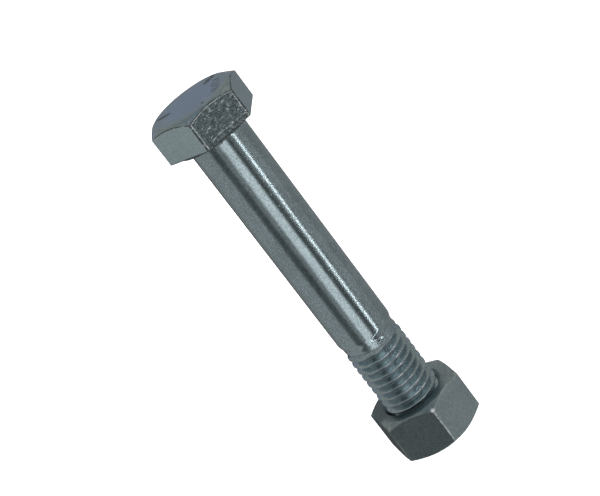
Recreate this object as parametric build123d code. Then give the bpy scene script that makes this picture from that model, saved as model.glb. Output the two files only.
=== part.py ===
"""Hex-head bolt with a plain shank, carrying one hex nut on its thread.

Lengths are in millimetres. The origin is the centre of the washer face under the head, and +Z
runs along the bolt from that face to the outside of the head, so that the shank, the thread and
the nut lie along -Z. Two opposite flats of the head face +Y and -Y.
"""
from build123d import *
import math
import os

# Thread: ISO metric, right hand, rolled on a blank that is narrower than the shank
THREAD_DIAMETER = 12.0
PITCH = 1.75
FLANK_ANGLE = 30.0             # each flank against the plane square to the axis
CREST_FLAT = PITCH / 8
THREAD_DEPTH = 17 / 24 * PITCH * math.cos(math.radians(FLANK_ANGLE))
CREST_HEIGHT = -55.6           # where one crest passes the +X direction
ROOT_EMBED = 0.1               # how far the thread's ridge reaches into the core

# Bolt, lengths measured from the washer face
ACROSS_FLATS = 17.8            # the head's and the nut's, for an 18 mm spanner
BOLT_LENGTH = 79.2
SHANK_DIAMETER = 12.0
SHANK_LENGTH = 49.3            # the full diameter ends here
SHANK_CONE_LENGTH = 1.5        # from the shank down to the neck
NECK_DEPTH = 0.35              # the neck between shank and thread, below the thread's crests
RUN_OUT_LENGTH = 1.3           # from the neck down to the thread's root
RUN_IN_LENGTH = 2.6            # where the crests grow to their full height
END_INSET = 0.13               # the end's flat face, inside the thread's root
END_CHAMFER_ANGLE = 45.0
CREST_MARGIN = 0.3             # between the trimming solid and the crests that it leaves alone

# Head
HEAD_HEIGHT = 7.5
HEAD_TOP_INSET = 0.7           # the flat outer face, inside the six flats
WASHER_FACE_HEIGHT = 0.5
WASHER_FACE_INSET = 0.6
UNDER_HEAD_FILLET = 0.6
CHAMFER_ANGLE = 30.0           # of the head's corners and the nut's

# Nut
NUT_HEIGHT = 10.0
TURNS_PAST_NUT = 1.3           # how much of the bolt's end stands past the nut, in pitches
NUT_TURN = 22.7                # the nut's flats against the head's, in degrees
NUT_FACE_INSET = 0.25          # both flat faces, inside the six flats
NUT_CLEARANCE = 0.1            # between the nut's crests and the bolt's
NUT_THREAD_DEPTH = 0.4         # the nut's thread, outwards from its bore
NUT_CREST_WIDTH = 0.65         # the flat top of its ridge
NUT_ROOT_EMBED = 0.1           # how far that ridge reaches into the nut's wall
COUNTERSINK_WIDTH = 0.55       # outwards from the bore
COUNTERSINK_ANGLE = 45.0

# Sizes that follow
CREST_RADIUS = THREAD_DIAMETER / 2
ROOT_RADIUS = CREST_RADIUS - THREAD_DEPTH
NECK_RADIUS = CREST_RADIUS - NECK_DEPTH
END_RADIUS = ROOT_RADIUS - END_INSET
SHANK_RADIUS = SHANK_DIAMETER / 2
WASHER_FACE_RADIUS = ACROSS_FLATS / 2 - WASHER_FACE_INSET
NECK_START = -(SHANK_LENGTH + SHANK_CONE_LENGTH)
BOLT_END = -BOLT_LENGTH
NUT_BOTTOM = BOLT_END + TURNS_PAST_NUT * PITCH
NUT_TOP = NUT_BOTTOM + NUT_HEIGHT
NUT_BORE_RADIUS = CREST_RADIUS + NUT_CLEARANCE


def slope(angle):
    return math.tan(math.radians(angle))


def turned(points):
    """The solid that an outline of (radius, height) points makes about the bolt's axis."""
    outline = make_face(Plane.XZ * Polyline(*points, close=True))
    return revolve(outline, axis=Axis.Z)


def hexagon(bottom, height, turn=0.0):
    """A hexagonal bar across ACROSS_FLATS, with a corner in the +X direction before its turn."""
    section = RegularPolygon(ACROSS_FLATS / 2, 6, major_radius=False, rotation=turn)
    return extrude(Plane.XY.offset(bottom) * section, height)


def helical_bar(section_points, mid_height, bottom, top):
    """A right-hand bar of one pitch, whose section is given as (radius, height) points.

    Its middle passes mid_height in the +X direction, and it covers bottom to top at least.
    """
    turns_down = math.ceil((mid_height - bottom) / PITCH)
    turns_up = math.ceil((top - mid_height) / PITCH)
    start = mid_height - turns_down * PITCH
    path = Helix(pitch=PITCH, height=(turns_down + turns_up) * PITCH, radius=CREST_RADIUS)
    section = make_face(Plane.XZ * Polyline(*section_points, close=True))
    return Pos(0, 0, start) * sweep(section, path=path, is_frenet=True)


def bolt_thread():
    """The ridge of the bolt's thread, trimmed to grow from the neck and to end in a chamfer."""
    half_crest = CREST_FLAT / 2
    half_root = half_crest + (THREAD_DEPTH + ROOT_EMBED) * slope(FLANK_ANGLE)
    ridge = helical_bar(
        [
            (ROOT_RADIUS - ROOT_EMBED, -half_root),
            (CREST_RADIUS, -half_crest),
            (CREST_RADIUS, half_crest),
            (ROOT_RADIUS - ROOT_EMBED, half_root),
        ],
        CREST_HEIGHT,
        BOLT_END - PITCH,
        NECK_START - PITCH,
    )
    outside = CREST_RADIUS + CREST_MARGIN
    growth = RUN_IN_LENGTH / (CREST_RADIUS - NECK_RADIUS)
    trim = turned(
        [
            (0, NECK_START),
            (NECK_RADIUS, NECK_START),
            (outside, NECK_START - growth * (outside - NECK_RADIUS)),
            (outside, BOLT_END + (outside - END_RADIUS) * slope(END_CHAMFER_ANGLE)),
            (END_RADIUS, BOLT_END),
            (0, BOLT_END),
        ]
    )
    return ridge & trim


def bolt_body():
    """Shank, neck and thread core, turned in one piece."""
    return turned(
        [
            (0, WASHER_FACE_HEIGHT),
            (SHANK_RADIUS, WASHER_FACE_HEIGHT),
            (SHANK_RADIUS, -SHANK_LENGTH),
            (NECK_RADIUS, NECK_START),
            (ROOT_RADIUS, NECK_START - RUN_OUT_LENGTH),
            (ROOT_RADIUS, BOLT_END + END_INSET * slope(END_CHAMFER_ANGLE)),
            (END_RADIUS, BOLT_END),
            (0, BOLT_END),
        ]
    )


def corner_trim(face, face_radius, opens):
    """A blunt cone that trims a hexagon's corners round a flat face of face_radius.

    It starts at the face's height and widens upwards where opens is 1, downwards where it is -1.
    """
    outside = ACROSS_FLATS
    cone_end = face + opens * (outside - face_radius) * slope(CHAMFER_ANGLE)
    far_end = face + opens * 2 * ACROSS_FLATS
    return turned([(0, face), (face_radius, face), (outside, cone_end), (outside, far_end), (0, far_end)])


def bolt_head():
    """Hexagonal head with a chamfered outer face, above a round washer face."""
    bar = hexagon(WASHER_FACE_HEIGHT, HEAD_HEIGHT - WASHER_FACE_HEIGHT)
    trim = corner_trim(HEAD_HEIGHT, ACROSS_FLATS / 2 - HEAD_TOP_INSET, -1)
    washer_face = turned(
        [
            (0, 0),
            (WASHER_FACE_RADIUS, 0),
            (WASHER_FACE_RADIUS, 2 * WASHER_FACE_HEIGHT),
            (0, 2 * WASHER_FACE_HEIGHT),
        ]
    )
    return (bar & trim) + washer_face


def bolt():
    """The whole bolt: head, filleted shank, neck and rolled thread as one solid."""
    body = bolt_head() + bolt_body()
    seat = [
        edge
        for edge in body.edges().filter_by(GeomType.CIRCLE)
        if abs(edge.radius - SHANK_RADIUS) < 1e-6 and abs(edge.center().Z) < 1e-6
    ]
    return fillet(seat, UNDER_HEAD_FILLET) + bolt_thread()


def nut_thread():
    """The ridge of the nut's thread, half a pitch from the bolt's, longer than the nut."""
    half_tip = NUT_CREST_WIDTH / 2
    half_root = half_tip + (NUT_THREAD_DEPTH + NUT_ROOT_EMBED) * slope(FLANK_ANGLE)
    root_radius = NUT_BORE_RADIUS + NUT_THREAD_DEPTH + NUT_ROOT_EMBED
    return helical_bar(
        [
            (NUT_BORE_RADIUS, -half_tip),
            (root_radius, -half_root),
            (root_radius, half_root),
            (NUT_BORE_RADIUS, half_tip),
        ],
        CREST_HEIGHT + PITCH / 2,
        NUT_BOTTOM - PITCH,
        NUT_TOP + PITCH,
    )


def countersink(face, opens):
    """The cone that one countersink takes out of the nut's face at that height.

    It narrows upwards where opens is 1, downwards where it is -1, and starts outside the nut.
    """
    mouth_radius = NUT_BORE_RADIUS + COUNTERSINK_WIDTH
    rise = slope(COUNTERSINK_ANGLE)
    start = face - opens * PITCH
    return turned([(0, start), (mouth_radius + PITCH / rise, start), (0, face + opens * mouth_radius * rise)])


def nut():
    """Hexagonal nut, cut to length from a longer threaded bar, then chamfered and countersunk."""
    face_radius = ACROSS_FLATS / 2 - NUT_FACE_INSET
    spare = 4 * PITCH
    bar_bottom, bar_height = NUT_BOTTOM - spare, NUT_HEIGHT + 2 * spare
    root_bore = Pos(0, 0, bar_bottom) * extrude(Circle(NUT_BORE_RADIUS + NUT_THREAD_DEPTH), bar_height)
    bar = hexagon(bar_bottom, bar_height, NUT_TURN) - root_bore + nut_thread()
    bar = bar & corner_trim(NUT_BOTTOM, face_radius, 1) & corner_trim(NUT_TOP, face_radius, -1)
    return bar - countersink(NUT_BOTTOM, 1) - countersink(NUT_TOP, -1)


os.makedirs("parts", exist_ok=True)
for name, make in (("bolt", bolt), ("nut", nut)):
    piece = make()
    piece.label = name
    export_step(piece, f"parts/{name}.step")
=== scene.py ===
"""Hex bolt with its nut, in bright zinc plate, upright above a pale table.

Both pieces are closed surfaces worked out as whole arrays. Each is a profile carried round the
bolt's axis, and where a piece is threaded the rows of its surface climb with the thread.
"""
import math

import bpy
import numpy as np
from mathutils import Matrix, Vector


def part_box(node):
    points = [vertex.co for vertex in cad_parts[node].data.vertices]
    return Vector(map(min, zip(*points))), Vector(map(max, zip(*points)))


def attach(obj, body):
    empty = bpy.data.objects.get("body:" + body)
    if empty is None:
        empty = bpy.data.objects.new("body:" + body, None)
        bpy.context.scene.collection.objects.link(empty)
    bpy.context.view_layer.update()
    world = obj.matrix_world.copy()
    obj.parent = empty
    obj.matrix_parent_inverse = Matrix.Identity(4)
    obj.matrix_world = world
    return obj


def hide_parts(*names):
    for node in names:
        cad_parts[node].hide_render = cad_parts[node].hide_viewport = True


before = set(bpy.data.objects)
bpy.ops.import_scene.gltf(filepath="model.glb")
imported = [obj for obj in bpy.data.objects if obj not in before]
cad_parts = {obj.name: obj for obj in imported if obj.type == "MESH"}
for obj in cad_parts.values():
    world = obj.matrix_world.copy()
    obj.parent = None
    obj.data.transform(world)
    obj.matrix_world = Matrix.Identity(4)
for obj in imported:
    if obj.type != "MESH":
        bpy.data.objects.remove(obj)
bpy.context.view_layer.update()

MM = 0.001
TURN = 2 * math.pi

# Places read from the frame
bolt_low, bolt_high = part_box("bolt")
nut_low, nut_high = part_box("nut")
HEAD_TOP = bolt_high[2]
BOLT_END = bolt_low[2]
NUT_TOP = nut_high[2]
NUT_BOTTOM = nut_low[2]
APOTHEM = bolt_high[1]                  # from the axis to a flat
NUT_CORNER = math.radians(22.7)         # the nut's corners against the head's

# Thread
PITCH = 1.75 * MM
CREST_RADIUS = 6.0 * MM
CREST_HEIGHT = -55.6 * MM               # where one crest passes the +X direction
CREST_FLAT = PITCH / 8
THREAD_DEPTH = 1.07 * MM
FLANK_SLOPE = math.tan(math.radians(30))
CREST_ROUNDING = 0.05 * MM

# Bolt
SHANK_RADIUS = 6.0 * MM
SHANK_END = -49.3 * MM
NECK_RADIUS = 5.65 * MM
NECK_START = -50.9 * MM
THREAD_FADES_IN = (-51.2 * MM, -53.6 * MM)
HEAD_TOP_INSET = 0.7 * MM
WASHER_FACE_HEIGHT = 0.5 * MM
WASHER_FACE_INSET = 0.6 * MM
CHAMFER_SLOPE = math.tan(math.radians(30))
END_RADIUS = 4.8 * MM
END_ROUNDING = 0.12 * MM

# Nut
NUT_FACE_INSET = 0.25 * MM
MOUTH_RADIUS = 6.65 * MM
MOUTH_SLOPE = math.tan(math.radians(45))
MOUTH_ROUNDING = 0.1 * MM
NUT_TRAVEL = 14 * MM                    # each way, along the thread
NUT_THREAD_GAP = 0.09 * MM              # between the two threads' flanks and crests
NUT_CREST_RADIUS = 5.1 * MM

# Surfaces
COLUMNS = 216
FACE_STRETCH = 0.5                      # how fast the threaded rows run out over the flat faces
# Rows of the thread, in pitches down from a crest, closer together at the bends
HALF_THREAD = (0, 0.045, 0.075, 0.13, 0.24, 0.34, 0.395, 0.425, 0.46, 0.5)
THREAD_ROWS = np.array(HALF_THREAD + tuple(1 - share for share in HALF_THREAD[-2:0:-1]))
CORNER_SHARPNESS = 120                  # a higher power leaves the hexagon's corners sharper
CORNER_CROWDING = 0.75                  # how far the columns gather at the corners
CORNER_WEAR_WIDTH = math.radians(1.6)   # round the axis, from an upright edge
ROUNDING_STEPS = 4                      # rows in each rounded corner, less one
ROUNDING_SHARE = 0.28                   # the most that a rounding takes of the sides next to it
GUARD_ROW = 1.6                         # a row this many times further out keeps the side flat
CREST_WEAR = 0.13                       # how worn the thread's crests are, from 0 to 1
ON_HEXAGON = 0.99 * APOTHEM             # points further out than this are on the six flats
OVERLAP = 0.1 * MM                      # between the threaded rows and the plain row next to them


# ---------------------------------------------------------------- shapes

def smooth_min(a, b, width):
    """The lower of two values, with a parabola of the given width where they cross."""
    blend = np.clip(0.5 + 0.5 * (b - a) / width, 0, 1)
    return b + (a - b) * blend - width * blend * (1 - blend) / 2


def smooth_max(a, b, width):
    """The higher of two values, blended in the same way."""
    return -smooth_min(-a, -b, width)


def smooth_step(value, start, end):
    """0 at start, 1 at end, and an S-shaped cubic between."""
    t = np.clip((value - start) / (end - start), 0, 1)
    return t * t * (3 - 2 * t)


def column_angles(corner):
    """Angles once round the axis, gathered by a sine where the six corners are."""
    even = np.arange(COLUMNS + 1) / COLUMNS * TURN
    return corner + even - CORNER_CROWDING * np.sin(6 * even) / 6


def hexagon_radius(angles, corner):
    """Radius of a hexagon with rounded corners.

    It is the apothem over the p-norm of the cosines to three normals, with CORNER_SHARPNESS for p.
    """
    normals = corner + np.radians([30, 90, 150])
    cosines = np.abs(np.cos(angles[:, None] - normals))
    return APOTHEM / (cosines**CORNER_SHARPNESS).sum(axis=1) ** (1 / CORNER_SHARPNESS)


def corner_wear(angles, corner):
    """1 on the hexagon's six upright edges, falling to 0 within a few degrees of them."""
    away = np.abs((angles - corner + math.radians(30)) % math.radians(60) - math.radians(30))
    return np.exp(-((away / CORNER_WEAR_WIDTH) ** 2))


def softened(corners, softness):
    """Rows through a profile's corners, each bent round a parabola that starts softness away.

    corners has the shape (points, columns, 2) and holds radius and height. A corner of no softness
    is a single row. Returns rows of the same kind, and for each row how much of an edge it is, from
    0 to 1.
    """
    rows, edge = [corners[0]], [0.0]
    for before, here, after, soft in zip(corners[:-2], corners[1:-1], corners[2:], softness):
        if soft == 0:
            rows.append(here)
            edge.append(0.0)
            continue
        back, ahead = before - here, after - here
        back_length = np.linalg.norm(back, axis=-1, keepdims=True)
        ahead_length = np.linalg.norm(ahead, axis=-1, keepdims=True)
        trim = np.minimum(soft, ROUNDING_SHARE * np.minimum(back_length, ahead_length))
        start, end = trim * back / back_length, trim * ahead / ahead_length
        rows.append(here + GUARD_ROW * start)
        edge.append(0.0)
        for t in np.linspace(0, 1, ROUNDING_STEPS + 1):
            rows.append(here + (1 - t) ** 2 * start + t**2 * end)
            edge.append(1.0 if 0 < t < 1 else 0.4)
        rows.append(here + GUARD_ROW * end)
        edge.append(0.0)
    rows.append(corners[-1])
    edge.append(0.0)
    return np.array(rows), np.array(edge)


def ring(radius, height):
    """One corner of a profile, the same all the way round unless an array is given."""
    shape = np.zeros(COLUMNS + 1)
    return np.stack([shape + radius, shape + height], axis=-1)


def from_crest(height, angle):
    """Distance along the axis to the nearest crest of the right-hand thread."""
    turns = (height - CREST_HEIGHT) / PITCH - angle / TURN
    return np.abs((turns + 0.5) % 1 - 0.5) * PITCH


def bolt_radius(height, angle):
    """Shank, then an S-shaped cone to the neck, then the thread, then the end's chamfer.

    The thread is a flat crest and root joined by 30 degree flanks, with every bend rounded, and
    its depth grows from nothing at the neck.
    """
    flank = (from_crest(height, angle) - CREST_FLAT / 2) / FLANK_SLOPE
    depth = smooth_min(smooth_max(flank, 0, CREST_ROUNDING), THREAD_DEPTH, 3 * CREST_ROUNDING)
    thread = CREST_RADIUS - depth
    plain = SHANK_RADIUS + (NECK_RADIUS - SHANK_RADIUS) * smooth_step(height, SHANK_END, NECK_START)
    grown = smooth_step(height, *THREAD_FADES_IN)
    body = plain + (thread - plain) * grown
    chamfer = END_RADIUS + (height - BOLT_END)
    return smooth_min(body, chamfer, END_ROUNDING)


def bolt_zone(along, angle):
    """The bolt from the shank's end down to its end face, where along runs on towards the axis."""
    height = np.maximum(along, BOLT_END)
    past_end = np.maximum(BOLT_END - along, 0)
    face = END_RADIUS - END_ROUNDING / 2 - FACE_STRETCH * past_end
    return np.where(past_end > 0, face, bolt_radius(height, angle)), height


def nut_zone(along, angle):
    """The nut's bore with its thread and two countersinks, and a strip of flat face at both ends.

    along runs on past each face, away from the axis. The thread is the bolt's groove with a gap
    all round, cut off at the nut's own crests.
    """
    height = np.clip(along, NUT_BOTTOM, NUT_TOP)
    past_face = np.abs(along - height)
    flank = (from_crest(height, angle) - CREST_FLAT / 2 - NUT_THREAD_GAP) / FLANK_SLOPE
    groove = CREST_RADIUS + NUT_THREAD_GAP - smooth_max(flank, 0, CREST_ROUNDING)
    thread = smooth_max(groove, NUT_CREST_RADIUS, CREST_ROUNDING)
    sunk = np.minimum(height - NUT_BOTTOM, NUT_TOP - height)
    mouth = MOUTH_RADIUS - MOUTH_SLOPE * sunk
    bore = smooth_max(thread, mouth, MOUTH_ROUNDING)
    return np.where(past_face > 0, MOUTH_RADIUS + FACE_STRETCH * past_face, bore), height


def threaded_rows(zone, angles, top, bottom):
    """Rows that climb one pitch for each turn, so that a row keeps to one place on the thread.

    Height along the zone is that of the crest next above top, less whole pitches and the row's
    share of one, plus the pitch times the turns made. The last column is one full turn on from
    the first.
    """
    start = CREST_HEIGHT + PITCH * math.ceil((top - CREST_HEIGHT) / PITCH)
    turns = math.ceil((start - bottom) / PITCH) + 1
    fall = (np.arange(turns)[:, None] + THREAD_ROWS).ravel()[:, None]
    along = start - PITCH * fall + PITCH * (angles - angles[0]) / TURN
    radius, height = zone(along, angles[None, :])
    return np.stack([radius, height], axis=-1)


def thread_marks(zone, angles):
    """How much each point of the bolt's zone is a crest, and how much a root, from 0 to 1.

    A crest falls off as a bell curve along the axis. A root rises in an S over the last part of
    the way to the middle between two crests, and marks where shade is painted into the thread.
    Both fade where the surface isn't thread.
    """
    radius, height = zone[..., 0], zone[..., 1]
    away = from_crest(height, angles)
    depth = np.abs(radius - CREST_RADIUS)
    on_crest = smooth_step(depth, 0.25 * MM, 0.05 * MM)
    crest = CREST_WEAR * np.exp(-((away / (0.14 * MM)) ** 2)) * on_crest
    root = smooth_step(away, 0.5 * MM, 0.85 * MM) * smooth_step(depth, 0.3 * MM, THREAD_DEPTH)
    return crest, root


# ---------------------------------------------------------------- meshes

def points_of(rows, angles):
    """Cartesian points of (radius, height) rows."""
    radius, height = rows[..., 0], rows[..., 1]
    return np.stack([radius * np.cos(angles), radius * np.sin(angles), height], axis=-1)


def quads(above, below):
    """Quads between two rows of vertex numbers, or between two blocks of rows."""
    corners = [above[..., :-1], below[..., :-1], below[..., 1:], above[..., 1:]]
    return np.stack(corners, axis=-1).reshape(-1, 4)


def fan(apex, chain):
    """Triangles from one vertex to each link of a chain."""
    chain = np.asarray(chain)
    return np.stack([np.full(len(chain) - 1, apex), chain[:-1], chain[1:]], axis=-1)


def make_piece(name, before, zone, after, angles, edges, wear_angles, marks, closed_loop):
    """A closed mesh from plain rows, a threaded zone and plain rows again.

    The zone's last column meets its first one pitch lower, so its top and bottom edges are one
    pitch out of step with a plain row there, and a fan of triangles takes up the step at each.
    With closed_loop the last row meets the first, as in a ring, and faces point the other way.
    Otherwise the first and last rows are single points.
    """
    plain = [before[..., :-1, :], after[..., :-1, :]]
    spans = angles[:-1]
    zone_rows = len(zone)
    step = len(THREAD_ROWS)
    blocks = [
        points_of(plain[0], spans).reshape(-1, 3),
        points_of(zone[:, :-1], spans).reshape(-1, 3),
        points_of(zone[:step, -1], angles[-1]),
        points_of(plain[1], spans).reshape(-1, 3),
    ]
    starts = np.cumsum([0] + [len(b) for b in blocks])
    numbers = [np.arange(starts[i], starts[i + 1]) for i in range(4)]

    def wrapped(block, rows):
        """A block of numbers as a grid, with its first column again after its last."""
        grid = block.reshape(rows, COLUMNS)
        return np.concatenate([grid, grid[:, :1]], axis=1)

    first = wrapped(numbers[0], len(before))
    last = wrapped(numbers[3], len(after))
    middle = numbers[1].reshape(zone_rows, COLUMNS)
    joined = np.concatenate([numbers[2], middle[: zone_rows - step, 0]])
    middle = np.concatenate([middle, joined[:, None]], axis=1)

    top, bottom = first[-1], last[0]
    faces4 = [
        quads(first[:-1], first[1:]),
        quads(top[1:], middle[0, 1:]),
        quads(middle[:-1], middle[1:]),
        quads(middle[-1, :-1], bottom[:-1]),
        quads(last[:-1], last[1:]),
    ]
    faces3 = [
        fan(middle[0, 1], [top[1], top[0], *middle[:step, -1], middle[0, 0]]),
        fan(middle[-1, -2], [bottom[-2], bottom[0], *middle[: -step - 2 : -1, 0]]),
    ]
    points = np.concatenate(blocks)
    if closed_loop:
        faces4.append(quads(last[-1], first[0]))
    else:
        for tip, neighbour, order in ((first[0], first[1], 1), (last[-1], last[-2], -1)):
            faces4 = [f[~np.isin(f, tip[:-1]).any(axis=1)] for f in faces4]
            faces3.append(fan(tip[0], neighbour[::order]))
    faces4, faces3 = np.concatenate(faces4), np.concatenate(faces3)
    if closed_loop:
        faces4, faces3 = faces4[:, ::-1], faces3[:, ::-1]

    used = np.zeros(len(points), bool)
    used[faces4] = True
    used[faces3] = True
    renumber = np.cumsum(used) - 1
    crest, root = (np.concatenate([m[:, :-1].ravel(), m[:step, -1]]) for m in marks)
    row_edge = [np.repeat(edges[0], COLUMNS), crest, np.repeat(edges[1], COLUMNS)]
    upright = wear_angles[:-1]
    nothing = np.zeros(len(crest))
    column_edge = [np.tile(upright, len(before)), nothing, np.tile(upright, len(after))]
    # The roots' mark, where shade is painted into the thread
    root_shade = [np.zeros(len(row_edge[0])), root, np.zeros(len(row_edge[2]))]
    outer = np.hypot(points[:, 0], points[:, 1]) > ON_HEXAGON
    wear = np.maximum(np.concatenate(row_edge), np.concatenate(column_edge) * outer)
    marks = {"wear": wear[used], "root_shade": np.concatenate(root_shade)[used]}
    return mesh_object(name, points[used], renumber[faces4], renumber[faces3], marks)


def mesh_object(name, points, faces4, faces3, marks):
    """A smooth mesh of these quads and triangles, with each mark as an attribute of its points."""
    mesh = bpy.data.meshes.new(name)
    mesh.vertices.add(len(points))
    mesh.vertices.foreach_set("co", points.astype(np.float32).ravel())
    corners = np.concatenate([faces4.ravel(), faces3.ravel()])
    sizes = np.concatenate([np.full(len(faces4), 4), np.full(len(faces3), 3)])
    mesh.loops.add(len(corners))
    mesh.loops.foreach_set("vertex_index", corners.astype(np.int32))
    mesh.polygons.add(len(sizes))
    mesh.polygons.foreach_set("loop_start", (np.cumsum(sizes) - sizes).astype(np.int32))
    mesh.update(calc_edges=True)
    mesh.polygons.foreach_set("use_smooth", np.ones(len(sizes), bool))
    for mark, values in marks.items():
        attribute = mesh.attributes.new(mark, "FLOAT", "POINT")
        attribute.data.foreach_set("value", values.astype(np.float32))
    mesh.validate()
    piece = bpy.data.objects.new(name, mesh)
    bpy.context.scene.collection.objects.link(piece)
    return piece


def bolt_piece():
    """Profile from the middle of the head's outer face, over the hexagon, to the shank's end."""
    angles = column_angles(0.0)
    flat = hexagon_radius(angles, 0.0)
    top_radius = APOTHEM - HEAD_TOP_INSET
    washer_radius = APOTHEM - WASHER_FACE_INSET
    head = np.array(
        [
            ring(0, HEAD_TOP),
            ring(0.5 * top_radius, HEAD_TOP),
            ring(top_radius, HEAD_TOP),
            ring(flat, HEAD_TOP - (flat - top_radius) * CHAMFER_SLOPE),
            ring(flat, WASHER_FACE_HEIGHT),
            ring(washer_radius, WASHER_FACE_HEIGHT),
            ring(washer_radius, 0),
            ring(SHANK_RADIUS, 0),
            ring(SHANK_RADIUS, 0.5 * SHANK_END),
            ring(SHANK_RADIUS, SHANK_END + 2 * PITCH + OVERLAP),
        ]
    )
    # Roundings at the corners between the first and the last
    before, edge = softened(head, np.array([0, 0.16, 0.13, 0.14, 0.05, 0.08, 0.6, 0]) * MM)
    zone = threaded_rows(bolt_zone, angles, SHANK_END, BOLT_END - OVERLAP)
    # The end face goes on inwards from the innermost threaded row
    inner = END_RADIUS - 2 * FACE_STRETCH * PITCH - 3 * OVERLAP
    after = np.array([ring(inner, BOLT_END), ring(0.5 * inner, BOLT_END), ring(0, BOLT_END)])
    edges = (edge, np.zeros(len(after)))
    wear = corner_wear(angles, 0.0)
    marks = thread_marks(zone, angles)
    return make_piece(
        "zinc_bolt", before, zone, after, angles, edges, wear, marks, closed_loop=False
    )


def nut_piece():
    """Bore first, from the top face down, then round the outside from the bottom face up."""
    angles = column_angles(NUT_CORNER)
    flat = hexagon_radius(angles, NUT_CORNER)
    face_radius = APOTHEM - NUT_FACE_INSET
    drop = (flat - face_radius) * CHAMFER_SLOPE
    # The flat faces go on outwards from the outermost threaded row
    strip = MOUTH_RADIUS + 2 * FACE_STRETCH * PITCH + OVERLAP / 2
    outside = np.array(
        [
            ring(strip, NUT_BOTTOM),
            ring(face_radius, NUT_BOTTOM),
            ring(flat, NUT_BOTTOM + drop),
            ring(flat, NUT_TOP - drop),
            ring(face_radius, NUT_TOP),
            ring(strip, NUT_TOP),
        ]
    )
    rows, edge = softened(outside, np.array([0.1, 0.13, 0.13, 0.1]) * MM)
    # The surface closes on itself, so the last of these rows comes before the bore
    before, after = rows[-1:], rows[:-1]
    zone = threaded_rows(nut_zone, angles, NUT_TOP + OVERLAP / 5, NUT_BOTTOM - OVERLAP)
    edges = (np.zeros(1), edge[:-1])
    wear = corner_wear(angles, NUT_CORNER)
    marks = [np.zeros(zone.shape[:2])] * 2
    return make_piece(
        "zinc_nut", before, zone, after, angles, edges, wear, marks, closed_loop=True
    )


# ---------------------------------------------------------------- shader nodes

class Graph:
    """Short names for the nodes of one material or world. Values can be numbers or sockets."""

    def __init__(self, tree):
        self.tree = tree
        tree.nodes.clear()

    def node(self, kind, inputs=None, **settings):
        """A new node with these settings, and these values or links at its inputs."""
        made = self.tree.nodes.new(kind)
        for key, value in settings.items():
            setattr(made, key, value)
        for key, value in (inputs or {}).items():
            self.put(made.inputs[key], value)
        return made

    def put(self, socket, value):
        """Links an input to another node's output, or gives it a fixed value."""
        if isinstance(value, bpy.types.NodeSocket):
            self.tree.links.new(value, socket)
        else:
            socket.default_value = value

    def math(self, operation, *values):
        made = self.node("ShaderNodeMath", operation=operation)
        for socket, value in zip(made.inputs, values):
            self.put(socket, value)
        return made.outputs[0]

    def folded(self, operation, values):
        """One value from several, by the same operation again and again."""
        total, *others = values
        for value in others:
            total = self.math(operation, total, value)
        return total

    def times(self, *values):
        return self.folded("MULTIPLY", values)

    def plus(self, *values):
        return self.folded("ADD", values)

    def minus(self, *values):
        return self.folded("SUBTRACT", values)

    def highest(self, *values):
        return self.folded("MAXIMUM", values)

    def lowest(self, *values):
        return self.folded("MINIMUM", values)

    def scaled(self, vector, scale):
        made = self.node("ShaderNodeVectorMath", {0: vector, 1: scale}, operation="MULTIPLY")
        return made.outputs[0]

    def attribute(self, name):
        return self.node("ShaderNodeAttribute", attribute_name=name).outputs["Fac"]

    def noise(self, vector, scale, detail, roughness, distortion=0.0):
        inputs = {
            "Vector": vector,
            "Scale": scale,
            "Detail": detail,
            "Roughness": roughness,
            "Distortion": distortion,
        }
        return self.node("ShaderNodeTexNoise", inputs).outputs[0]

    def ramp(self, value, low, high, start=0.0, end=1.0):
        """An S-shaped rise from start to end as value goes from low to high."""
        inputs = {"Value": value, 1: low, 2: high, 3: start, 4: end}
        made = self.node("ShaderNodeMapRange", inputs, interpolation_type="SMOOTHSTEP")
        return made.outputs[0]

    def mix(self, share, a, b):
        """Colour a where share is 0, and colour b where it is 1."""
        made = self.node("ShaderNodeMix", data_type="RGBA")
        for socket, value in zip((made.inputs[0], made.inputs[6], made.inputs[7]), (share, a, b)):
            self.put(socket, value)
        return made.outputs[2]

    def split(self, vector):
        """The x, y and z of a vector."""
        return self.node("ShaderNodeSeparateXYZ", {0: vector}).outputs


# ---------------------------------------------------------------- zinc
# Lengths in the shaders are in millimetres

FLAT = APOTHEM / MM
HEAD_FACE = HEAD_TOP / MM
NUT_FACE = NUT_TOP / MM

PALE_FLECK = (0.86, 0.88, 0.88, 1)
# Colour of the painted shade in the thread's roots
PAINTED_ROOT_SHADE = (0.20, 0.225, 0.235, 1)
RUBBED_EDGE = (0.84, 0.87, 0.85, 1)
BUMP_HEIGHT = 0.02 * MM
BARE_AND_GLINT_SCATTER = 0.3                      # how much less metallic the scratched metal and the painted glints are


def tint(colour, level):
    """A colour made darker or lighter, with its alpha."""
    return tuple(min(1, level * c) for c in colour) + (1,)


def between(g, value, low, high, soft):
    """1 where value lies between low and high, with soft edges outside them."""
    return g.times(g.ramp(value, low - soft, low), g.ramp(value, high + soft, high))


def reach(g, place, turn):
    """How far a point is from the axis in one direction."""
    x, y = g.split(place)[:2]
    return g.plus(g.times(x, math.cos(turn)), g.times(y, math.sin(turn)))


def flat_distances(g, place, corner):
    """How far a point is from the axis, square to its own flat and square to the next one round."""
    turns = [corner + math.radians(degrees) for degrees in (30, 90, 150)]
    away = [g.math("ABSOLUTE", reach(g, place, turn)) for turn in turns]
    nearest = g.highest(*away)
    return nearest, g.minus(g.plus(*away), nearest, g.lowest(*away))


def one_flat(g, place, degrees):
    """1 on the flat of a hexagon that faces this way, and 0 elsewhere."""
    return g.ramp(reach(g, place, math.radians(degrees)), FLAT - 0.3, FLAT - 0.08)


def across(g, x, y, middle_x, middle_y, degrees):
    """Distances along and across a line through a point."""
    c, s = math.cos(math.radians(degrees)), math.sin(math.radians(degrees))
    x, y = g.minus(x, middle_x), g.minus(y, middle_y)
    along = g.plus(g.times(x, c), g.times(y, s))
    beside = g.minus(g.times(y, c), g.times(x, s))
    return along, beside


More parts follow.
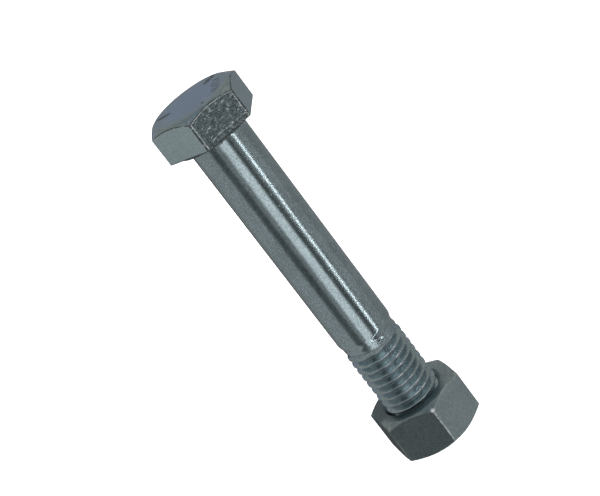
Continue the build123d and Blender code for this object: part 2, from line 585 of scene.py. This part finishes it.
def oval(g, x, y, middle_x, middle_y, degrees, length, width):
    """1 inside an ellipse with these half axes, fading out at its rim."""
    along, beside = across(g, x, y, middle_x, middle_y, degrees)
    along, beside = g.math("DIVIDE", along, length), g.math("DIVIDE", beside, width)
    return g.ramp(g.plus(g.times(along, along), g.times(beside, beside)), 1.1, 0.5)


def zinc(name, colour, rough, streaks, marks):
    """Bright zinc plate over rolled steel: streaks along the axis, pits, rubbed edges and painted
    shade in the roots.

    The wear attribute lightens crests and edges, and the roots' attribute darkens the thread's
    roots with painted shade.
    streaks says how much of the streaks shows. marks adds what only this piece has, and says where
    the metal is scratched bare and where highlights are painted, so that it scatters some light.
    """
    material = bpy.data.materials.new(name)
    material.use_nodes = True
    g = Graph(material.node_tree)
    place = g.scaled(g.node("ShaderNodeTexCoord").outputs["Object"], (1 / MM,) * 3)

    cloud = g.noise(place, 0.16, 4, 0.6)
    streak = g.noise(g.scaled(place, (1, 1, 0.05)), 1.6, 4, 0.65)
    streak = g.plus(g.times(g.minus(streak, 0.5), streaks), 0.5)
    fine = g.noise(g.scaled(place, (1, 1, 1 - 0.88 * streaks)), 9, 3, 0.7)
    grain = g.noise(place, 5, 3, 0.7)
    cells = g.node("ShaderNodeTexVoronoi", {"Vector": place, "Scale": 5.5})
    speck = g.split(cells.outputs["Color"])[0]
    pits = g.ramp(g.noise(g.scaled(place, (1, 1, 0.6)), 1.9, 2, 0.5), 0.69, 0.76)
    flecks = g.ramp(g.noise(place, 3.2, 2, 0.5), 0.71, 0.8)
    wear = g.attribute("wear")
    root_shade = g.attribute("root_shade")

    shade = g.plus(g.times(cloud, 0.4), g.times(streak, 0.25), g.times(speck, 0.35))
    base = g.mix(g.ramp(shade, 0.3, 0.7), tint(colour, 0.72), tint(colour, 1.18))
    base = g.mix(g.times(pits, 0.55), base, tint(colour, 0.35))
    base = g.mix(g.times(flecks, 0.5), base, PALE_FLECK)
    # Painted shade in the thread's roots
    base = g.mix(g.times(root_shade, 0.5), base, PAINTED_ROOT_SHADE)
    patchy = g.ramp(g.noise(place, 1.1, 3, 0.6), 0.38, 0.6, 0.15, 1.0)
    base = g.mix(g.times(wear, patchy, 0.6), base, RUBBED_EDGE)

    texture = g.plus(g.times(streak, 0.5), g.times(fine, 0.5))
    roughness = g.ramp(texture, 0.3, 0.7, rough - 0.05, rough + 0.09)
    roughness = g.plus(roughness, g.times(pits, 0.25), g.times(root_shade, 0.2))
    height = g.minus(g.plus(g.times(grain, 0.9), g.times(fine, 0.3)), g.times(pits, 1.2))
    base, roughness, height, bare_and_glint = marks(g, place, base, roughness, height)
    bump = g.node("ShaderNodeBump", {"Height": height, "Strength": 0.4, "Distance": BUMP_HEIGHT})
    inputs = {
        "Base Color": base,
        "Roughness": roughness,
        "Metallic": g.minus(1, g.times(bare_and_glint, BARE_AND_GLINT_SCATTER)),
        "Normal": bump.outputs[0],
    }
    shader = g.node("ShaderNodeBsdfPrincipled", inputs)
    g.put(g.node("ShaderNodeOutputMaterial").inputs["Surface"], shader.outputs[0])
    return material


# ---------------------------------------------------------------- marks

# Painted light and shade on single flats: the way that the flat faces, in degrees, how much of it,
# its colour
HEAD_FLAT_PAINTED_SHADING = ((-150, 0.4, (0.72, 0.90, 0.92, 1)), (-30, 0.4, (0.36, 0.58, 0.72, 1)))
NUT_FLAT_PAINTED_SHADING = (
    (-67.3, 0.4, (0.62, 0.72, 0.75, 1)),
    (-127.3, 0.7, (0.20, 0.25, 0.26, 1)),
    (172.7, 0.9, (0.07, 0.08, 0.085, 1)),
)
# Ovals in the plane of the outer faces: middle, direction in degrees, half length, half width
RUBS = (
    (-5.1, 3.3, -43, 2.0, 0.75),
    (5.9, 2.6, 22, 1.8, 1.1),
    (-0.1, -6.7, 0, 0.35, 0.6),
)
STROKE_PATCH = (4.8, -2.9, 63, 4.6, 1.25)
STROKE_DIRECTION = -57
STROKE_PERIOD = 1.15
# Painted shade on the nut's upper face round the bore, in ovals of the same kind
MOUTH_SHADE_PATCHES = ((-0.8, -0.4, 0, 7.8, 7.8), (-6.4, 3.2, 62, 5, 2.6))
# The painted highlight in one of the nut's corners
HIGHLIGHT_SPOT_RADIUS = 10.1
HIGHLIGHT_SPOT_DEPTH = 0.85                      # below the nut's upper face

DULL_DARK = (0.14, 0.185, 0.2, 1)
DULL_PALE = (0.28, 0.35, 0.37, 1)
CHIP = (0.85, 0.92, 0.93, 1)
BORDER = (0.9, 0.9, 0.88, 1)
FACE_RIM = (0.36, 0.48, 0.50, 1)
FACE_MIDDLE = (0.37, 0.51, 0.71, 1)
# Colour of the real rubs on the head's face and of the shade painted at the head's edges
RUB_AND_PAINTED_SHADE = (0.08, 0.085, 0.085, 1)
GLINT = (0.92, 0.94, 0.94, 1)
# Colour of the painted shade round the nut's bore
MOUTH_SHADE = (0.13, 0.17, 0.19, 1)
# Colour of the highlights painted on the nut
NUT_HIGHLIGHT = (0.92, 0.93, 0.92, 1)


def with_painted_flat_shading(g, place, base, flat_shadings, area):
    """The base colour with the painted light and shade of single flats laid over it, as far as area
    allows.
    """
    for degrees, share, shading_colour in flat_shadings:
        base = g.mix(g.times(one_flat(g, place, degrees), area, share), base, shading_colour)
    return base


def chip_pattern(g, place):
    """1 on small chips that gather in some places."""
    chips = g.ramp(g.noise(g.scaled(place, (0.4, 1, 1)), 2.6, 4, 0.8, 0.5), 0.55, 0.63)
    return g.times(chips, g.ramp(g.noise(place, 0.9, 2, 0.5), 0.36, 0.56, 0.2, 1))


def border_lines(g, place, radius, next_nearest, wander):
    """1 on the rubbed borders of a flat: under the chamfer's arc, at both sides and at the foot."""
    z = g.split(place)[2]
    fall = g.times(g.minus(radius, FLAT - HEAD_TOP_INSET / MM), CHAMFER_SLOPE)
    arc = between(g, g.minus(HEAD_FACE, fall, z), 0.06, 0.13, 0.07)
    sides = between(g, next_nearest, FLAT - 0.36, FLAT - 0.28, 0.08)
    foot = g.highest(between(g, z, 0.62, 0.7, 0.06), between(g, z, 1.55, 1.62, 0.08))
    foot = g.times(foot, g.ramp(wander, 0.46, 0.56))
    rubbed = g.ramp(g.noise(place, 3, 3, 0.7), 0.4, 0.55, 0.25, 1)
    return g.times(g.highest(arc, sides, foot), rubbed)


def painted_edge_shade(g, z, nearest, next_nearest, wander, on_head):
    """1 where shade is painted in dark lines on the head: its chamfer's rim, its upright edges and
    the seam at its foot.
    """
    chamfer = g.times(between(g, nearest, FLAT - 0.21, FLAT - 0.07, 0.06), g.ramp(z, 5.2, 5.6))
    upright = g.times(g.ramp(next_nearest, FLAT - 0.22, FLAT - 0.08), on_head)
    shade_lines = g.times(g.highest(chamfer, upright), g.ramp(wander, 0.36, 0.52))
    # Painted shade under the head, at the foot of its flats, on the washer face and on the shank's
    # top
    uneven = g.times(g.ramp(wander, 0.35, 0.65), 0.45)
    foot_shade = g.times(g.ramp(g.plus(z, uneven), -0.75, -0.15), g.ramp(z, 0.82, 0.62))
    return g.highest(shade_lines, g.times(foot_shade, g.ramp(wander, 0.32, 0.5, 0.5, 1)))


def face_rubs(g, place):
    """1 on the rubs of the head's outer face, and on its patch of frayed, parallel strokes."""
    x, y = g.split(place)[:2]
    rubs = g.highest(*(oval(g, x, y, *rub) for rub in RUBS))
    rubs = g.times(rubs, g.ramp(g.noise(place, 2.0, 3, 0.7), 0.38, 0.52, 0.3, 1))
    along, beside = across(g, x, y, 0, 0, STROKE_DIRECTION)
    waves = g.ramp(g.math("SINE", g.times(beside, TURN / STROKE_PERIOD)), -0.2, 0.5)
    drawn_out = g.node("ShaderNodeCombineXYZ", {0: g.times(along, 0.5), 1: g.times(beside, 2.2)})
    frayed = g.ramp(g.noise(drawn_out.outputs[0], 1.1, 3, 0.6), 0.4, 0.52)
    return g.highest(rubs, g.times(waves, oval(g, x, y, *STROKE_PATCH), frayed))


def crest_glints(g, place, threaded):
    """1 where a highlight is painted on short lengths of the thread's crests, on the bolt's front.
    """
    x, y = g.split(place)[:2]
    aside = g.times(g.math("ABSOLUTE", g.minus(x, 0.2)), 1.2)
    front_side = g.ramp(g.plus(y, aside), -3.4, -5.0)
    short = g.ramp(g.noise(g.scaled(place, (1, 1, 2.5)), 1.1, 3, 0.6), 0.48, 0.58)
    return g.times(g.ramp(g.attribute("wear"), 0.06, 0.11), threaded, front_side, short)


def bolt_marks(g, place, base, roughness, height):
    """Painted shading of the flats, a dull scuffed front flat, painted shade lines, rubs on top,
    painted glints.
    """
    x, y, z = g.split(place)
    radius = g.math("SQRT", g.plus(g.times(x, x), g.times(y, y)))
    nearest, next_nearest = flat_distances(g, place, 0.0)
    on_head = g.ramp(z, 0.3, 0.5)
    on_face = g.ramp(z, 6.9, 7.3)
    threaded = g.ramp(z, SHANK_END / MM - 1, SHANK_END / MM - 2.5)
    wander = g.noise(place, 1.3, 3, 0.6)
    # Painted light and shade on single flats of the head
    base = with_painted_flat_shading(g, place, base, HEAD_FLAT_PAINTED_SHADING, on_head)

    # The front flat, mottled, with pale chips and rubbed borders
    front = g.times(g.ramp(y, 0.3 - FLAT, 0.06 - FLAT), on_head)
    scuffs = g.noise(g.scaled(place, (0.6, 1, 1.3)), 1.5, 5, 0.75)
    mottle = g.ramp(g.noise(place, 2.2, 4, 0.75), 0.4, 0.62)
    chips = g.times(chip_pattern(g, place), front)
    borders = g.times(border_lines(g, place, radius, next_nearest, wander), front)
    base = g.mix(g.times(front, 0.92), base, g.mix(mottle, DULL_DARK, DULL_PALE))
    base = g.mix(g.times(chips, 0.8), base, CHIP)
    base = g.mix(g.times(borders, 0.85), base, BORDER)

    # The outer face is bluer in the middle than at its rim
    rim = g.times(g.ramp(g.plus(radius, g.times(wander, 2)), 6, 8.2), on_face)
    middle = g.times(g.ramp(radius, 8.4, 8.1), g.minus(on_face, rim))
    base = g.mix(g.times(rim, 0.5), base, FACE_RIM)
    base = g.mix(g.times(middle, 0.6), base, FACE_MIDDLE)

    # Painted shade in dark lines at the head's edges and under it, with the real dark rubs on its
    # face
    shade_lines = painted_edge_shade(g, z, nearest, next_nearest, wander, on_head)
    rubs_and_shade = g.highest(shade_lines, g.times(face_rubs(g, place), on_face, 0.95))
    # Highlights painted on the crests
    glints = crest_glints(g, place, threaded)
    base = g.mix(g.times(rubs_and_shade, 0.85), base, RUB_AND_PAINTED_SHADE)
    base = g.mix(glints, base, GLINT)

    dullness = g.times(front, g.ramp(scuffs, 0.3, 0.6, 0.1, 0.22))
    roughness = g.plus(roughness, dullness, g.times(rubs_and_shade, 0.3), g.times(threaded, 0.1))
    height = g.minus(g.plus(height, g.times(front, scuffs, 4.0)), g.times(rubs_and_shade, 0.8))
    # Less metallic where the metal is scratched bare and where glints are painted
    bare_and_glint = g.highest(g.times(chips, 0.6), g.times(borders, 0.35), g.times(glints, 0.8))
    return base, roughness, height, bare_and_glint


def nut_marks(g, place, base, roughness, height):
    """Painted shading of the flats, painted shade round the bore, painted highlights on the front
    edges and a corner.
    """
    x, y, z = g.split(place)
    speck = g.ramp(g.noise(place, 4.5, 3, 0.75), 0.35, 0.65, 0.25, 1)
    # Painted light and shade on single flats of the nut
    base = with_painted_flat_shading(g, place, base, NUT_FLAT_PAINTED_SHADING, speck)
    # Painted shade round the bore
    mouth_shade = g.highest(*(oval(g, x, y, *patch) for patch in MOUTH_SHADE_PATCHES))
    mouth_shade = g.times(mouth_shade, g.ramp(z, NUT_FACE - 0.35, NUT_FACE - 0.15))
    base = g.mix(g.times(mouth_shade, 0.8), base, MOUTH_SHADE)

    # A highlight painted on one corner, also made less metallic
    corner = NUT_CORNER - math.radians(120)
    highlight_spot = (
        HIGHLIGHT_SPOT_RADIUS * math.cos(corner),
        HIGHLIGHT_SPOT_RADIUS * math.sin(corner),
        NUT_FACE - HIGHLIGHT_SPOT_DEPTH,
    )
    gap = g.node("ShaderNodeVectorMath", {0: place, 1: highlight_spot}, operation="DISTANCE")
    bright = g.times(g.ramp(gap.outputs["Value"], 0.6, 0.25), 0.6)
    # A highlight painted along the upright edges in front, and less of it at the left
    next_nearest = flat_distances(g, place, NUT_CORNER)[1]
    highlight_side = g.highest(g.ramp(y, -9.6, -9.9), g.times(g.ramp(x, -9.0, -9.3), 0.6))
    edge_highlight = g.times(g.ramp(next_nearest, FLAT - 0.2, FLAT - 0.08), highlight_side)
    edge_highlight = g.times(edge_highlight, g.ramp(g.noise(place, 2.2, 3, 0.6), 0.42, 0.55))
    bare_and_glint = g.highest(bright, g.times(edge_highlight, 0.4))
    return g.mix(bare_and_glint, base, NUT_HIGHLIGHT), roughness, height, bare_and_glint


# ---------------------------------------------------------------- studio

# Levels of red, green and blue
LOWER_LIGHT = (0.24, 0.245, 0.245)
LOW_SKY = (0.26, 0.275, 0.31)
HIGH_SKY = (0.31, 0.305, 0.285)
OVERHEAD = (0.25, 0.27, 0.29)
DARKEST = 0.03
PANEL_DEPTH = 20                        # degrees below the horizon
# Panels and gaps in the lower half, in degrees: azimuth at that depth, how far it moves for each
# degree further down, half width and soft edge, then how much is added to the lower light
PANELS = (
    (-104, -0.5, 10.5, 8, 0.6),
    (-57.5, -1.2, 0.6, 1.3, 4.8),
    (165, 0.0, 26, 18, 0.07),
    (-30, 0.0, 10, 12, 0.06),
    (89, 0.0, 9, 10, -0.21),
    (-150, 0.0, 9, 9, -0.15),
    (-80, 0.0, 6, 6, -0.14),
)
FLOOR_WIDTH = 12.0
FLOOR_GAP = 0.1 * MM                    # under the nut at its lowest place
CAMERA_ANGLES = (-13.76, 20.93, -37.21)  # azimuth from the front, elevation and roll, in degrees
CAMERA_AIM = Vector((-0.28, 0.07, -28.31)) * MM
CAMERA_DISTANCE = 302.4 * MM
CAMERA_LENS = 95.6


def studio_world():
    """Light by direction: a plain upper half, and panels and gaps round the lower half."""
    world = bpy.data.worlds.new("studio")
    world.use_nodes = True
    bpy.context.scene.world = world
    g = Graph(world.node_tree)
    x, y, z = g.split(g.node("ShaderNodeTexCoord").outputs["Generated"])
    azimuth = g.math("DEGREES", g.math("ARCTAN2", y, x))
    down = g.minus(g.times(g.math("DEGREES", g.math("ARCSINE", z)), -1), PANEL_DEPTH)
    panels = []
    for centre, slant, half, soft, level in PANELS:
        away = g.minus(azimuth, centre, g.times(down, slant))
        away = g.math("ABSOLUTE", g.math("WRAP", away, 180, -180))
        panels.append(g.ramp(away, half, half + soft, level, 0))
    added = g.plus(*panels)
    sums = [g.highest(g.plus(added, level), DARKEST) for level in LOWER_LIGHT]
    lower = g.node("ShaderNodeCombineXYZ", dict(enumerate(sums)))
    # z is the sine of the elevation
    upper = g.mix(g.ramp(z, 0.28, 0.46), LOW_SKY + (1,), HIGH_SKY + (1,))
    upper = g.mix(g.ramp(z, 0.8, 0.96), upper, OVERHEAD + (1,))
    colour = g.mix(g.ramp(z, -0.12, 0.08), lower.outputs[0], upper)
    back = g.node("ShaderNodeBackground", {"Color": colour, "Strength": 1.0})
    out = g.node("ShaderNodeOutputWorld")
    g.put(out.inputs["Surface"], back.outputs[0])


def studio_floor():
    """A plain pale table, as wide as any view from above and clear below the nut's lowest place."""
    mesh = bpy.data.meshes.new("floor")
    half, z = FLOOR_WIDTH / 2, NUT_BOTTOM - NUT_TRAVEL - FLOOR_GAP
    corners = [(-half, -half, z), (half, -half, z), (half, half, z), (-half, half, z)]
    mesh.from_pydata(corners, [], [(0, 1, 2, 3)])
    floor = bpy.data.objects.new("floor", mesh)
    bpy.context.scene.collection.objects.link(floor)
    material = bpy.data.materials.new("pale_table")
    material.use_nodes = True
    g = Graph(material.node_tree)
    inputs = {
        "Base Color": (0.5, 0.5, 0.5, 1),
        "Roughness": 0.9,
        "Emission Color": (1, 1, 1, 1),
        "Emission Strength": 0.7,
    }
    shader = g.node("ShaderNodeBsdfPrincipled", inputs)
    g.put(g.node("ShaderNodeOutputMaterial").inputs["Surface"], shader.outputs[0])
    mesh.materials.append(material)
    floor.visible_glossy = False


def soft_light(name, azimuth, elevation, distance, size, power):
    """A square area light that faces the seat under the head and shows in no reflection."""
    data = bpy.data.lights.new(name, "AREA")
    data.shape = "SQUARE"
    data.size = size
    data.energy = power
    a, e = math.radians(azimuth), math.radians(elevation)
    away = Vector((math.cos(a) * math.cos(e), math.sin(a) * math.cos(e), math.sin(e)))
    light = bpy.data.objects.new(name, data)
    facing = away.to_track_quat("Z", "Y").to_matrix().to_4x4()
    light.matrix_world = Matrix.Translation(away * distance) @ facing
    light.visible_glossy = False
    bpy.context.scene.collection.objects.link(light)


def studio_camera():
    """Looks down at the bolt from in front, tipped so that the bolt lies aslant in the frame."""
    azimuth, elevation, roll = (math.radians(degrees) for degrees in CAMERA_ANGLES)
    back = Vector(
        (
            math.sin(azimuth) * math.cos(elevation),
            -math.cos(azimuth) * math.cos(elevation),
            math.sin(elevation),
        )
    )
    level = Vector((math.cos(azimuth), math.sin(azimuth), 0))
    rise = back.cross(level)
    right = math.cos(roll) * level + math.sin(roll) * rise
    up = math.cos(roll) * rise - math.sin(roll) * level
    place = CAMERA_AIM + back * CAMERA_DISTANCE
    data = bpy.data.cameras.new("camera")
    data.lens = CAMERA_LENS
    data.clip_start, data.clip_end = 0.01, 50
    camera = bpy.data.objects.new("camera", data)
    turned = Matrix((right, up, back)).transposed().to_4x4()
    camera.matrix_world = Matrix.Translation(place) @ turned
    bpy.context.scene.collection.objects.link(camera)
    bpy.context.scene.camera = camera


# ---------------------------------------------------------------- scene

bolt = bolt_piece()
nut = nut_piece()
bolt_plate = zinc(
    "bolt_zinc_plate", (0.50, 0.61, 0.645), rough=0.10, streaks=1.0, marks=bolt_marks
)
nut_plate = zinc("nut_zinc_plate", (0.43, 0.52, 0.54), rough=0.34, streaks=0.1, marks=nut_marks)
bolt.data.materials.append(bolt_plate)
nut.data.materials.append(nut_plate)
for piece, node in ((bolt, "bolt"), (nut, "nut")):
    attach(piece, node)
    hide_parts(node)

studio_world()
studio_floor()
soft_light("key", azimuth=-104, elevation=52, distance=1.3, size=1.4, power=32)
soft_light("fill", azimuth=60, elevation=75, distance=1.3, size=1.6, power=22)
studio_camera()
bpy.context.scene.view_settings.view_transform = "Standard"
